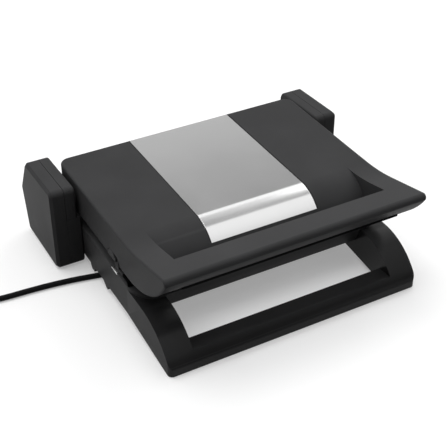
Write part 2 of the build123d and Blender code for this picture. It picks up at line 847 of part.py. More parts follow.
def grill_rib(length):
    """One rib standing on z = 0, with sloped ends."""
    section = make_face(Plane.XZ.offset(-length / 2) * rib_outline())
    rib = extrude(section, length, dir=(0, -1, 0))
    root = length / 2
    tip = root - rib_height
    ends = Polyline((-root, -rib_sink), (root, -rib_sink), (root, 0), (tip, rib_height),
                    (-tip, rib_height), (-root, 0), close=True)
    return rib & slab(ends, -rib_root, rib_root)


def lower_grill_plate():
    """Lower plate, resting on the deck of the base."""
    return Pos(0, plate_middle, lower_plate_base) * grill_plate()


def upper_grill_plate():
    """Upper plate, the same casting turned over under the lid bezel."""
    return Pos(0, plate_middle, upper_plate_base) * Rot(0, 180, 0) * grill_plate()


def element_route(z):
    """Loop of a tubular heating element, with both ends near the back."""
    half_x = plate_width / 2 - element_inset
    front = plate_middle - plate_depth / 2 + element_inset
    rear = plate_middle + plate_depth / 2 - element_inset
    end_x = half_x - element_end_turns * element_turn
    return [(-end_x, rear - 2 * element_turn, z), (-end_x, rear, z), (-half_x, rear, z),
            (-half_x, front, z), (half_x, front, z), (half_x, rear, z), (end_x, rear, z),
            (end_x, rear - 2 * element_turn, z)]


def heating_element(z):
    """Tubular heating element in one loop."""
    route = element_route(z)
    path = FilletPolyline(*route, radius=element_radius)
    section = Plane(origin=route[0], z_dir=path % 0) * Circle(element_diameter / 2)
    return sweep(section, path=path)


def lower_heating_element():
    """Element pressed against the underside of the lower plate."""
    return heating_element(lower_plate_base - element_diameter / 2)


def upper_heating_element():
    """Element pressed against the back of the upper plate."""
    return heating_element(upper_plate_base + element_diameter / 2)


def reflector():
    """Sheet-metal tray behind a heating element, open side up, from z = 0."""
    tray = extrude(plate_plan(reflector_inset), reflector_depth)
    room = extrude(plate_plan(reflector_inset + reflector_thickness), reflector_depth)
    return tray - Pos(0, 0, reflector_thickness) * room


def lower_reflector():
    """Tray under the lower element."""
    return Pos(0, plate_middle, lower_plate_base - reflector_depth) * reflector()


def upper_reflector():
    """Tray over the upper element, turned over."""
    return Pos(0, plate_middle, upper_plate_base + reflector_depth) * Rot(0, 180, 0) * reflector()


# --- Inside the base ---------------------------------------------------------
def thermostat():
    """Bimetal disc thermostat with two blade terminals, under the reflector."""
    top = lower_plate_base - reflector_depth
    bottom = top - thermostat_height
    can = Pos(thermostat_offset, plate_middle, bottom) * Cylinder(
        thermostat_radius, thermostat_height, align=(Align.CENTER, Align.CENTER, Align.MIN))
    blade = Box(blade_width, blade_thickness, blade_length, align=(Align.CENTER, Align.CENTER, Align.MAX))
    return can + [Pos(thermostat_offset + side * blade_pitch / 2, plate_middle, bottom) * blade
                  for side in (-1, 1)]


def terminal_block():
    """Screw terminal block on the bottom cover, where the cord is wired in."""
    low = base_floor + bottom_cover_thickness
    x = gland_start().X + terminal_from_gland
    y = gland_start().Y
    body = block((x, y - terminal_depth / 2, low),
                 (x + terminal_length, y + terminal_depth / 2, low + terminal_height))
    hole = Cylinder(terminal_hole_radius, 2 * terminal_hole_depth)
    for step in (-1, 0, 1):
        body -= Pos(x + terminal_length / 2 + step * terminal_pitch, y, low + terminal_height) * hole
    return body


# --- Lid lock ----------------------------------------------------------------
def lock_middle():
    """Middle of the lock slider along the left side of the lid."""
    return hinge_y - lock_from_hinge


def lock_outline(gap=0.0, travel=0.0):
    """Arched tab outline on the lid side, (y, z), with an optional travel."""
    half = lock_length / 2 + gap
    top = lid_rim + lock_height + gap
    shoulder = top - lock_shoulder_drop
    front = lock_middle() - half - travel
    rear = lock_middle() + half
    return Polyline((front, lid_rim - 2 * gap), (front, shoulder), (front + lock_shoulder, top),
                    (rear - lock_shoulder, top), (rear, shoulder), (rear, lid_rim - 2 * gap), close=True)


def lock_room():
    """Window of the lock slider in the left side wall of the lid."""
    return slab(lock_outline(lock_gap, lock_travel), -half_lid - 1, -half_lid + wall + 0.1)


def lock_slider():
    """Sliding lock tab with a hook that reaches down to the base keeper."""
    tab = slab(lock_outline(), -half_lid, -half_lid + wall - lock_back_step)
    front = lock_middle() - lock_length / 2
    rear = lock_middle() + lock_length / 2
    inside = -half_lid + wall + lock_gap
    back_x = inside + lock_thickness
    back = block((inside, front, lid_rim + lock_gap), (back_x, rear, lid_rim + lock_height))
    neck = block((-half_lid + 1, front + lock_neck, lid_rim + 1),
                 (inside + 1, rear - lock_neck, lid_rim + lock_height / 2))
    hook = block((inside, front, lock_hook_low()), (back_x, front + lock_length / 2, lid_rim + 2))
    toe = block((inside, front - lock_toe, lock_hook_low()),
                (back_x, front + 1, lock_hook_low() + lock_hook_height))
    return tab + neck + back + hook + toe


def lock_hook_low():
    """Underside of the hook, just over the base rim."""
    return base_rim + lock_lift


def lock_keeper():
    """Keeper on the base rim whose arm holds the hook of the lock down."""
    low_x = -half_body + keeper_inset
    high_x = low_x + keeper_depth
    rear = lock_middle() - lock_length / 2 - lock_toe - lock_clearance
    front = rear - lock_travel - keeper_arm
    arm_low = lock_hook_low() + lock_hook_height + lock_gap
    post = block((low_x, front, base_rim), (high_x, front + keeper_post, arm_low))
    arm = block((low_x, front, arm_low), (high_x, rear, arm_low + keeper_arm))
    return post + arm


# --- Power cord --------------------------------------------------------------
def cord_radii(points):
    """The largest tangent arc that each corner of the route has room for."""
    radii = []
    for before, corner, after in zip(points, points[1:], points[2:]):
        run_in = Vector(*corner) - Vector(*before)
        run_out = Vector(*after) - Vector(*corner)
        half_turn = math.radians(run_in.get_angle(run_out)) / 2
        radii.append(cord_arc_share * min(run_in.length, run_out.length) / math.tan(half_turn))
    return radii


def power_cord():
    """Cord from the strain relief, out under the left side, to its coil."""
    radii = cord_radii(cord_points)
    path = FilletPolyline(*cord_points, radius=radii)
    section = Plane(origin=path @ 0, z_dir=path % 0) * Circle(cord_diameter / 2)
    cord = sweep(section, path=path)
    expected = math.pi * (cord_diameter / 2) ** 2 * path.length
    print("cord radii", [round(radius) for radius in radii])
    print("cord length", round(path.length, 1), "volume ratio", round(cord.volume / expected, 4))
    return cord


def gland_start():
    """Middle of the wide end of the strain relief."""
    direction = Vector(*cord_points[1]) - Vector(*cord_points[0])
    return Vector(*cord_points[0]) - direction.normalized() * gland_length


def strain_relief():
    """Tapered strain relief between the boss of the bottom cover and the cord."""
    direction = Vector(*cord_points[1]) - Vector(*cord_points[0])
    plane = Plane(origin=gland_start(), z_dir=direction)
    sections = [plane * Circle(gland_radius_large),
                plane.offset(gland_length) * Circle(gland_radius_small)]
    return loft(sections)


def coil_centre():
    """Middle of the coil: the cord runs into it at a tangent."""
    end = Vector(*cord_points[-1])
    run = end - Vector(*cord_points[-2])
    side = Vector(-run.Y, run.X, 0).normalized()
    return end + side * coil_mid_radius


def cord_coil():
    """Outer shape of the stored coil of the cord."""
    centre = coil_centre()
    ring = Cylinder(coil_mid_radius + coil_section / 2, coil_section) - Cylinder(
        coil_mid_radius - coil_section / 2, coil_section)
    ring = fillet(ring.edges().filter_by(GeomType.CIRCLE), cord_diameter / 2 - 0.1)
    return Pos(centre.X, centre.Y, coil_section / 2) * ring


def plug():
    """Round-pin mains plug beside the coil."""
    x = coil_centre().X - plug_length / 2 - plug_ahead
    coil_reach = math.sqrt((coil_mid_radius + coil_section / 2) ** 2 - plug_ahead**2)
    y = coil_centre().Y + coil_reach + plug_gap + plug_width / 2
    body = Pos(x, y, plug_height / 2) * Box(plug_length, plug_width, plug_height)
    body = fillet(body.edges().filter_by(Axis.X), plug_radius)
    pins = [rod((x - plug_length / 2 - plug_pin_length, y + s * plug_pin_pitch / 2, plug_height / 2),
                (x - plug_length / 2 + 1, y + s * plug_pin_pitch / 2, plug_height / 2),
                plug_pin_diameter / 2) for s in (-0.5, 0.5)]
    return body + pins


# --- Build and export --------------------------------------------------------
def export(name, solid):
    """Write one piece to its own STEP file."""
    export_step(solid, f"parts/{name}.step")


def export_pair(name, solid):
    """Write a piece of the right side and its mirror image."""
    export(f"{name}_right", solid)
    export(f"{name}_left", mirror(solid, about=Plane.YZ))


SINGLE_PIECES = {
    "base_shell": base_shell,
    "front_foot_frame": front_foot_frame,
    "front_foot_pads": front_foot_pads,
    "base_bottom_cover": base_bottom_cover,
    "bottom_cover_screws": bottom_cover_screws,
    "rear_feet": rear_feet,
    "tower_screws": tower_screws,
    "lower_grill_plate": lower_grill_plate,
    "lower_heating_element": lower_heating_element,
    "lower_reflector": lower_reflector,
    "thermostat": thermostat,
    "terminal_block": terminal_block,
    "lock_keeper": lock_keeper,
    "lid_shell": lid_shell,
    "lid_bezel": lid_bezel,
    "steel_panel": steel_panel,
    "handle_lower_cover": handle_lower_cover,
    "upper_grill_plate": upper_grill_plate,
    "upper_heating_element": upper_heating_element,
    "upper_reflector": upper_reflector,
    "knuckle_screws": knuckle_screws,
    "lock_slider": lock_slider,
    "cord_strain_relief": strain_relief,
    "power_cord": power_cord,
    "cord_coil": cord_coil,
    "mains_plug": plug,
}

PAIRED_PIECES = {
    "outer_tower": outer_tower,
    "tower_guide_plate": guide_plate,
    "inner_tower": inner_tower,
    "hinge_slider": hinge_slider,
    "hinge_pin": hinge_pin,
    "lid_knuckle": knuckle,
}


if __name__ == "__main__":
    os.makedirs("parts", exist_ok=True)
    for piece_name, make_piece in SINGLE_PIECES.items():
        export(piece_name, make_piece())
    for piece_name, make_piece in PAIRED_PIECES.items():
        export_pair(piece_name, make_piece())
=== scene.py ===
"""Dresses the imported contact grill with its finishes, its cord and a plain stage."""

import json
import math

import bmesh
import bpy
from bpy.props import FloatProperty, FloatVectorProperty, PointerProperty
from mathutils import Matrix, Vector

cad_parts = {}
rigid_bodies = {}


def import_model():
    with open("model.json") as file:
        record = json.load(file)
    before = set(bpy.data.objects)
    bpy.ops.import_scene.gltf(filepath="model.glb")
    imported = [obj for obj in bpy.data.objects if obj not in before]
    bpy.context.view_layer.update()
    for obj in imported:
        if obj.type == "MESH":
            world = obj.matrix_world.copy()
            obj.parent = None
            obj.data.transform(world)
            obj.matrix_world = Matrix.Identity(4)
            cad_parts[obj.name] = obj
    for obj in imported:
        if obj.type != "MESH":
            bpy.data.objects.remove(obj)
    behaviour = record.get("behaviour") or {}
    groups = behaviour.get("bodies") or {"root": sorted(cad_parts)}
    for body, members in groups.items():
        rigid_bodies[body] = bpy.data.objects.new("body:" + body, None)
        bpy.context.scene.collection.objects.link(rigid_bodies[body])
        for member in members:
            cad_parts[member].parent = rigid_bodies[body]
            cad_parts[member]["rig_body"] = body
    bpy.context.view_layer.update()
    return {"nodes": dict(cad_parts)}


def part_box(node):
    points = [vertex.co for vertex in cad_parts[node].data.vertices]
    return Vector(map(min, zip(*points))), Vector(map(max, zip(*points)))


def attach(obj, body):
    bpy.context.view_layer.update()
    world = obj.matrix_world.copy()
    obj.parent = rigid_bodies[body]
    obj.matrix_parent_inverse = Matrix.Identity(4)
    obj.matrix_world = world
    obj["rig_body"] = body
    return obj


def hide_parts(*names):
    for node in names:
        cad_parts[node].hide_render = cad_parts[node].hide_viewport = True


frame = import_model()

bl_info = {
    "name": "Contact grill dressing",
    "version": (1, 0, 0),
    "blender": (4, 5, 0),
    "location": "3D View > Sidebar > Grill",
    "description": "Dresses a packed contact grill with its finishes, its cord and a plain stage",
    "category": "Object",
}

MM = 0.001


# --- Properties ---------------------------------------------------------------
def colour_setting(name, description, value):
    """A colour that a user can change."""
    return FloatVectorProperty(
        name=name, description=description, subtype="COLOR", size=3, min=0, max=1, default=value)


class GrillFinishSettings(bpy.types.PropertyGroup):
    """Colours of the finishes and softness of the moulded edges."""

    plastic: colour_setting("Housing", "Colour of the matt black housings", (0.042, 0.042, 0.043))
    # Colour of the front foot: partly its satin black, partly painted shade, darker than the housings on
    # its front and inner faces.
    satin: colour_setting("Front foot", "Colour of the satin black front foot", (0.018, 0.018, 0.0185))
    # Near-black for the handle cover and the keeper: partly their own dark finish, partly painted shade
    # beneath the handle and the lock tab.
    deep_and_shade: colour_setting("Deep black", "Colour of the handle cover and the keeper", (0.005, 0.005, 0.0052))
    rubber: colour_setting("Rubber", "Colour of the feet", (0.022, 0.022, 0.022))
    panel: colour_setting("Steel panel", "Colour of the brushed panel", (0.80, 0.80, 0.80))
    steel: colour_setting("Steel", "Colour of screws and pins", (0.56, 0.56, 0.56))
    reflector: colour_setting("Reflector", "Colour of the reflector trays", (0.66, 0.66, 0.66))
    coating: colour_setting("Plate coating", "Colour of the non-stick coating", (0.038, 0.038, 0.040))
    cord: colour_setting("Cord", "Colour of the cord and the plug", (0.008, 0.008, 0.0085))
    ceramic: colour_setting("Terminal block", "Colour of the terminal block", (0.78, 0.78, 0.74))
    slider: colour_setting("Slider", "Colour of the hinge sliders", (0.10, 0.10, 0.10))
    edge: FloatProperty(
        name="Edge softness", description="Rounding of the moulded edges", unit="LENGTH",
        default=0.8 * MM)


class GrillCordSettings(bpy.types.PropertyGroup):
    """Power cord and its coil."""

    diameter: FloatProperty(
        name="Diameter", description="Thickness of the cord", unit="LENGTH", default=7 * MM)
    coil_radius: FloatProperty(
        name="Coil radius", description="Radius at the middle of the coil's turns",
        unit="LENGTH", default=38 * MM)


class GrillStageSettings(bpy.types.PropertyGroup):
    """Floor, light and camera round the grill."""

    floor_colour: colour_setting("Floor", "Colour of the floor", (0.97, 0.97, 0.97))
    floor_glow: FloatProperty(
        name="Floor paleness", description="Share of plain white in the floor as it is seen",
        subtype="FACTOR", min=0, max=1, default=0.3)
    floor_bounce: colour_setting("Floor bounce", "Colour that the floor throws back", (0.22, 0.22, 0.22))
    camera_azimuth: FloatProperty(
        name="Camera azimuth", description="Direction that the camera looks from, from the front",
        subtype="ANGLE", default=math.radians(-28.78))
    camera_elevation: FloatProperty(
        name="Camera elevation", description="Height of the camera above the horizon",
        subtype="ANGLE", default=math.radians(35.78))
    camera_distance: FloatProperty(
        name="Camera distance", description="From the camera to what it looks at",
        unit="LENGTH", default=1.24306)
    camera_target: FloatVectorProperty(
        name="Camera target", description="Point that the camera looks at", subtype="XYZ", size=3,
        unit="LENGTH", default=(-0.01358, -0.021, 0.05791))
    lens: FloatProperty(
        name="Lens", description="Focal length of the camera in millimetres", default=82.15)


# --- Modelling helpers --------------------------------------------------------
MERGE_DISTANCE = 0.005 * MM
FLAT_ANGLE = math.radians(0.4)  # faces that lie closer than this become one
SMOOTH_ANGLE = 32               # shading is smooth below this angle between faces, in degrees
FACE_WEIGHT = 60                # how much the large faces lead the shading
FACING = 0.5                    # least part of a normal along an axis for a face to face that way


def deselect():
    """Leave edit mode and deselect every object."""
    if bpy.context.object and bpy.context.object.mode != "OBJECT":
        bpy.ops.object.mode_set(mode="OBJECT")
    bpy.ops.object.select_all(action="DESELECT")


def pick(piece):
    """Select one object and make it the active one."""
    deselect()
    piece.select_set(True)
    bpy.context.view_layer.objects.active = piece
    return piece


def apply_modifier(piece, kind, **values):
    """Add a modifier with these values and apply it."""
    pick(piece)
    modifier = piece.modifiers.new(kind.lower(), kind)
    for key, value in values.items():
        setattr(modifier, key, value)
    bpy.ops.object.modifier_apply(modifier=modifier.name)


def smooth(piece, angle=SMOOTH_ANGLE):
    """Smooth the shading of a piece, apart from its sharp edges."""
    pick(piece)
    bpy.ops.object.shade_smooth_by_angle(angle=math.radians(angle))


def seat(piece, body, slot, material, *nodes):
    """Give a finished piece its finish, its body and the nodes that it stands for."""
    piece.data.materials.clear()
    piece.data.materials.append(material)
    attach(piece, body)
    if nodes:
        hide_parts(*nodes)
    return piece


def place_mesh(piece, matrix):
    """Move a piece's mesh to its place and leave its object at the origin."""
    piece.data.transform(matrix @ piece.matrix_world)
    piece.matrix_world = Matrix.Identity(4)
    return piece


def round_edges(piece, test, width):
    """In edit mode, round the outward edges whose two ends pass a test."""
    bpy.ops.mesh.select_all(action="DESELECT")
    bpy.ops.mesh.select_mode(type="EDGE")
    mesh = bmesh.from_edit_mesh(piece.data)
    for edge in mesh.edges:
        if edge.is_convex and all(test(end.co) for end in edge.verts):
            edge.select_set(True)
    bmesh.update_edit_mesh(piece.data)
    bpy.ops.mesh.bevel(offset=width, segments=4, loop_slide=False, clamp_overlap=True)
    bpy.ops.mesh.select_mode(type="VERT")


def softened(node, name, material, slot, width, segments=2, angle=35, wide=None):
    """A merged copy of a CAD node with its sharp edges rounded, in place of the node.

    Edges whose ends pass the test in wide are first rounded by the width given there.
    """
    source = frame["nodes"][node]
    piece = bpy.data.objects.new(name, source.data.copy())
    bpy.context.scene.collection.objects.link(piece)
    pick(piece)
    bpy.ops.mesh.customdata_custom_splitnormals_clear()
    bpy.ops.object.mode_set(mode="EDIT")
    bpy.ops.mesh.select_all(action="SELECT")
    bpy.ops.mesh.remove_doubles(threshold=MERGE_DISTANCE)
    bpy.ops.mesh.mark_sharp(clear=True)
    bpy.ops.mesh.dissolve_limited(angle_limit=FLAT_ANGLE)
    if wide:
        round_edges(piece, *wide)
    bpy.ops.object.mode_set(mode="OBJECT")
    apply_modifier(piece, "BEVEL", width=width, segments=segments, limit_method="ANGLE",
                   angle_limit=math.radians(angle), use_clamp_overlap=True, miter_outer="MITER_ARC")
    smooth(piece)
    apply_modifier(piece, "WEIGHTED_NORMAL", keep_sharp=True, weight=FACE_WEIGHT)
    return seat(piece, source["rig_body"], slot, material, node)


def block(size):
    """A block round the origin, with its size in mm, left in edit mode."""
    deselect()
    bpy.ops.mesh.primitive_cube_add(size=1)
    piece = bpy.context.object
    bpy.ops.object.mode_set(mode="EDIT")
    bpy.ops.transform.resize(value=size * MM)
    return piece


def turned(name, rings, sides=24):
    """A turned piece along +Z: a circle extruded and resized from ring to ring, (z, radius) in mm."""
    deselect()
    z, radius = rings[0]
    bpy.ops.mesh.primitive_circle_add(vertices=sides, radius=radius * MM, fill_type="NGON",
                                      location=(0, 0, z * MM))
    piece = bpy.context.object
    piece.name = name
    bpy.ops.object.mode_set(mode="EDIT")
    bpy.ops.mesh.select_all(action="SELECT")
    for z_next, radius_next in rings[1:]:
        bpy.ops.mesh.extrude_region_move(TRANSFORM_OT_translate={"value": (0, 0, (z_next - z) * MM)})
        if radius_next != radius:
            share = radius_next / radius
            bpy.ops.transform.resize(value=(share, share, 1))
        z, radius = z_next, radius_next
    bpy.ops.mesh.select_all(action="SELECT")
    bpy.ops.mesh.normals_make_consistent(inside=False)
    bpy.ops.object.mode_set(mode="OBJECT")
    return place_mesh(piece, Matrix.Identity(4))


def select_faces(piece, test):
    """In edit mode, select the faces whose middle and normal pass a test."""
    bpy.ops.mesh.select_all(action="DESELECT")
    mesh = bmesh.from_edit_mesh(piece.data)
    for face in mesh.faces:
        if test(face.calc_center_median(), face.normal):
            face.select_set(True)
    bmesh.update_edit_mesh(piece.data)


def cut(piece, cutter):
    """Take a cutter's shape out of a piece."""
    apply_modifier(piece, "BOOLEAN", operation="DIFFERENCE", object=cutter, solver="EXACT")
    bpy.data.objects.remove(cutter)


def copy_of(piece, name, matrix):
    """A copy of a piece with its own mesh, at another place."""
    twin = bpy.data.objects.new(name, piece.data.copy())
    bpy.context.scene.collection.objects.link(twin)
    twin.data.transform(matrix)
    return twin


def joined(name, parts):
    """Join several parts into one piece."""
    deselect()
    for part in parts:
        part.select_set(True)
    bpy.context.view_layer.objects.active = parts[0]
    if len(parts) > 1:
        bpy.ops.object.join()
    parts[0].name = name
    return parts[0]


def toward(direction, place):
    """Matrix that turns +Z to a direction and moves the origin to a place in mm."""
    turn = Vector(direction).to_track_quat("Z", "Y").to_matrix().to_4x4()
    return Matrix.Translation(Vector(place) * MM) @ turn


def corners(node, inset):
    """The four places in plan at a distance from the edges of a node's box, in mm."""
    low, high = (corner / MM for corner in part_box(node))
    return [(x, y) for x in (low.x + inset, high.x - inset) for y in (low.y + inset, high.y - inset)]


def smooth_step(share):
    """0 before 0, 1 after 1, and a smooth rise between."""
    share = min(max(share, 0.0), 1.0)
    return share * share * (3 - 2 * share)


# --- Finishes -----------------------------------------------------------------
BROAD_SCALE = 16.0          # of the noise that makes broad shades and smudges
SHADE_SPAN = (0.35, 0.65)   # part of that noise over which the colour changes
SMUDGE_SPAN = (0.3, 0.7)    # part of it over which the roughness changes
NOISE_DETAIL = 3.0
FLECK_SCALE = 1400.0        # of the flecks in a coating
FLECK_SPAN = (0.22, 0.10)   # from no fleck to a full one, by the distance to its middle
WEAR_SPAN = (0.53, 0.64)    # from no wear to full wear, by how pointed the surface is
WORN_GAIN = 1.6             # a worn edge is brighter by this factor
WORN_LIFT = 0.02            # and by this much more


def blend(nodes, links, factor, first, second):
    """Mix two colours, each a tuple or the output of a node."""
    node = nodes.new("ShaderNodeMix")
    node.data_type = "RGBA"
    links.new(factor, node.inputs["Factor"])
    for key, value in (("A", first), ("B", second)):
        socket = next(s for s in node.inputs if s.name == key and s.type == "RGBA")
        if isinstance(value, tuple):
            socket.default_value = (*value, 1)
        else:
            links.new(value, socket)
    return next(s for s in node.outputs if s.type == "RGBA")


def calculate(nodes, links, operation, first, second):
    """The result of an operation on two values, each a number or the output of a node."""
    node = nodes.new("ShaderNodeMath")
    node.operation = operation
    for socket, value in zip(node.inputs, (first, second)):
        if isinstance(value, float):
            socket.default_value = value
        else:
            links.new(value, socket)
    return node.outputs["Value"]


def finish(name, colour, roughness, metallic=0.0, specular=0.5, grain=900.0, stretch=(1, 1, 1),
           bump=0.15, relief=0.05, shade=0.12, smudge=0.06, wear=0.0, flecks=0.0):
    """A finish with a fine grain in its relief, broad shades in its colour, and worn edges."""
    material = bpy.data.materials.new(name)
    material.use_nodes = True
    nodes, links = material.node_tree.nodes, material.node_tree.links
    shader = nodes["Principled BSDF"]
    shader.inputs["Metallic"].default_value = metallic
    shader.inputs["Specular IOR Level"].default_value = specular
    place = nodes.new("ShaderNodeTexCoord")
    mapping = nodes.new("ShaderNodeMapping")
    mapping.inputs["Scale"].default_value = stretch
    links.new(place.outputs["Object"], mapping.inputs["Vector"])

    def noise(vector, scale):
        node = nodes.new("ShaderNodeTexNoise")
        node.inputs["Scale"].default_value = scale
        node.inputs["Detail"].default_value = NOISE_DETAIL
        links.new(vector, node.inputs["Vector"])
        return node.outputs["Fac"]

    def spread(value, span, to_low=0.0, to_high=1.0):
        node = nodes.new("ShaderNodeMapRange")
        for key, number in zip(("From Min", "From Max", "To Min", "To Max"), (*span, to_low, to_high)):
            node.inputs[key].default_value = number
        links.new(value, node.inputs["Value"])
        return node.outputs["Result"]

    fine = noise(mapping.outputs["Vector"], grain)
    broad = noise(place.outputs["Object"], BROAD_SCALE)
    dark = tuple(c * (1 - shade) for c in colour)
    light = tuple(min(c * (1 + shade), 1.0) for c in colour)
    tint = blend(nodes, links, spread(broad, SHADE_SPAN), dark, light)
    if flecks:
        spots = nodes.new("ShaderNodeTexVoronoi")
        spots.inputs["Scale"].default_value = FLECK_SCALE
        links.new(place.outputs["Object"], spots.inputs["Vector"])
        fleck = tuple(min(c + flecks, 1.0) for c in colour)
        tint = blend(nodes, links, spread(spots.outputs["Distance"], FLECK_SPAN), tint, fleck)
    if wear:
        edge = nodes.new("ShaderNodeNewGeometry")
        worn = tuple(min(c * WORN_GAIN + WORN_LIFT, 1.0) for c in colour)
        tint = blend(nodes, links, spread(edge.outputs["Pointiness"], WEAR_SPAN, to_high=wear), tint, worn)
    links.new(tint, shader.inputs["Base Color"])
    gloss = spread(broad, SMUDGE_SPAN, roughness - smudge, roughness + smudge)
    links.new(gloss, shader.inputs["Roughness"])
    height = nodes.new("ShaderNodeBump")
    height.inputs["Strength"].default_value = bump
    height.inputs["Distance"].default_value = relief * MM
    links.new(fine, height.inputs["Height"])
    links.new(height.outputs["Normal"], shader.inputs["Normal"])
    return material


_finishes = {}


def finish_of(slot):
    """The finish of a material slot, made when it is first asked for."""
    if slot in _finishes:
        return _finishes[slot]
    look = bpy.context.scene.grill_finish
    recipes = {
        "black_plastic": dict(colour=look.plastic, roughness=0.44, specular=0.03, grain=1500, bump=0.35,
                              relief=0.06, shade=0.06, smudge=0.04, wear=0.35),
        # Satin black of the front foot, darker than the housings: partly its glossy finish, partly painted
        # shade.
        "satin_black_plastic": dict(colour=look.satin, roughness=0.24, specular=0.14, grain=700, bump=0.10,
                                    relief=0.04, shade=0.06, smudge=0.01, wear=0.35),
        "rubber": dict(colour=look.rubber, roughness=0.80, specular=0.25, grain=1100, bump=0.5,
                       relief=0.12, shade=0.15),
        "steel": dict(colour=look.steel, roughness=0.32, metallic=1.0, grain=500, stretch=(1, 1, 5),
                      bump=0.2, relief=0.03, shade=0.15, smudge=0.08, wear=0.2),
        # The keeper's steel gets a near-black colour without reflection: partly a dark part, partly painted
        # shade under the lock tab.
        "black_steel_and_shade": dict(colour=look.deep_and_shade, roughness=0.50, specular=0.0, grain=900, bump=0.2),
        # Near-black without reflection for the cover under the handle: partly its glossy black, partly
        # painted shade.
        "deep_black_and_shade": dict(colour=look.deep_and_shade, roughness=0.20, specular=0.0, grain=300, bump=0.04,
                           relief=0.03, shade=0.10, smudge=0.04, wear=0.3),
        "brushed_steel": dict(colour=look.panel, roughness=0.16, metallic=1.0, grain=2600,
                              stretch=(0.012, 1, 1), bump=0.22, relief=0.02, shade=0.008, smudge=0.012),
        "reflector_sheet": dict(colour=look.reflector, roughness=0.38, metallic=1.0, grain=900,
                                stretch=(1, 0.04, 1), bump=0.25, relief=0.03, shade=0.10, smudge=0.08),
        "nonstick_aluminium": dict(colour=look.coating, roughness=0.46, metallic=0.0, specular=0.5,
                                   grain=1000, bump=0.35, relief=0.08, shade=0.10, smudge=0.06, wear=0.4,
                                   flecks=0.10),
        "cord_black": dict(colour=look.cord, roughness=0.50, specular=0.06, grain=600, bump=0.15,
                           relief=0.05, shade=0.10),
        "white_plastic": dict(colour=look.ceramic, roughness=0.45, grain=800, bump=0.1, shade=0.04),
        "slider_plastic": dict(colour=look.slider, roughness=0.42, grain=900, bump=0.15, wear=0.3),
    }
    recipe = dict(recipes[slot])
    recipe["colour"] = tuple(recipe["colour"])
    _finishes[slot] = finish(slot, **recipe)
    return _finishes[slot]


# --- Housings -----------------------------------------------------------------
HOUSINGS = (
    # node, piece, edge rounding in edge softnesses
    ("lid_shell", "lid_housing", 1.0),
    ("base_shell", "base_housing", 0.9),
    ("outer_tower_left", "tower_housing_left", 0.6),
    ("outer_tower_right", "tower_housing_right", 0.6),
    ("inner_tower_left", "tower_bracket_left", 0.6),
    ("inner_tower_right", "tower_bracket_right", 0.6),
    ("tower_guide_plate_left", "tower_guide_left", 0.4),
    ("tower_guide_plate_right", "tower_guide_right", 0.4),
    ("lid_knuckle_left", "knuckle_left", 0.8),
    ("lid_knuckle_right", "knuckle_right", 0.8),
    ("base_bottom_cover", "bottom_cover", 0.5),
    ("lid_bezel", "plate_surround", 0.5),
    ("lock_slider", "lock_tab", 0.4),
)


class GRILL_OT_housings(bpy.types.Operator):
    """Round the edges of the moulded housings and give them their matt black"""

    bl_idname = "grill.housings"
    bl_label = "Housings"

    def execute(self, context):
        edge = context.scene.grill_finish.edge
        for node, name, share in HOUSINGS:
            softened(node, name, finish_of("black_plastic"), "black_plastic", share * edge)
        return {"FINISHED"}


# --- Front foot and handle cover ----------------------------------------------
TOE_ROUNDING = 3.5 * MM
TOE_DEPTH = 0.5 * MM         # the toe's edge lies within this distance of the front
TOE_LOWEST = 5 * MM          # and above this height over the foot's lowest point
# Only the outer sides of the legs keep the housing black; the front and inner faces of the foot get the
# darker satin black as painted shade.
SIDE_DEPTH = 5 * MM          # outer sides of the legs, in from the ends of the foot
SIDEWAYS = 0.8               # least part of a normal along X on those sides
COVER_SOFTNESS = 0.6         # edge rounding of the handle cover in edge softnesses


class GRILL_OT_foot_frame(bpy.types.Operator):
    """Round the edges of the front foot and of the cover under the handle, whose darker blacks are partly
    painted shade
    """

    bl_idname = "grill.foot_frame"
    bl_label = "Front foot and handle cover"

    def execute(self, context):
        edge = context.scene.grill_finish.edge
        low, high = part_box("front_foot_frame")

        def on_toe(place):
            return place.y < low.y + TOE_DEPTH and place.z > low.z + TOE_LOWEST

        # Faces that keep the housing black; all other faces of the foot carry the painted shade of the
        # darker satin black.
        def on_side_without_painted_shade(middle, normal):
            inside = low.x + SIDE_DEPTH < middle.x < high.x - SIDE_DEPTH
            return abs(normal.x) > SIDEWAYS and not inside

        # The front and inner faces get the darker satin black, which is partly painted shade; the outer
        # sides get the housing black below.
        foot = softened("front_foot_frame", "front_foot", finish_of("satin_black_plastic"),
                        "satin_black_plastic", edge, 3, wide=(on_toe, TOE_ROUNDING))
        foot.data.materials.append(finish_of("black_plastic"))
        pick(foot)
        bpy.ops.object.mode_set(mode="EDIT")
        select_faces(foot, on_side_without_painted_shade)
        foot.active_material_index = 1
        bpy.ops.object.material_slot_assign()
        bpy.ops.object.mode_set(mode="OBJECT")
        # The cover under the handle gets the near-black, which is partly painted shade beneath the handle
        # bar.
        softened("handle_lower_cover", "handle_cover", finish_of("deep_black_and_shade"), "satin_black_plastic",
                 COVER_SOFTNESS * edge, 3)
        return {"FINISHED"}


# --- Steel panel and cooking plates -------------------------------------------
PANEL_EDGE = 0.25 * MM
PLATE_EDGE = 0.6 * MM


class GRILL_OT_steel_panel(bpy.types.Operator):
    """Finish the brushed steel panel on the lid"""

    bl_idname = "grill.steel_panel"
    bl_label = "Steel panel"

    def execute(self, context):
        softened("steel_panel", "brushed_panel", finish_of("brushed_steel"), "brushed_steel", PANEL_EDGE)
        return {"FINISHED"}


class GRILL_OT_plates(bpy.types.Operator):
    """Finish the two ribbed cooking plates"""

    bl_idname = "grill.plates"
    bl_label = "Cooking plates"

    def execute(self, context):
        for side in ("lower", "upper"):
            softened(f"{side}_grill_plate", f"{side}_cooking_plate", finish_of("nonstick_aluminium"),
                     "nonstick_aluminium", PLATE_EDGE, 3)
        return {"FINISHED"}


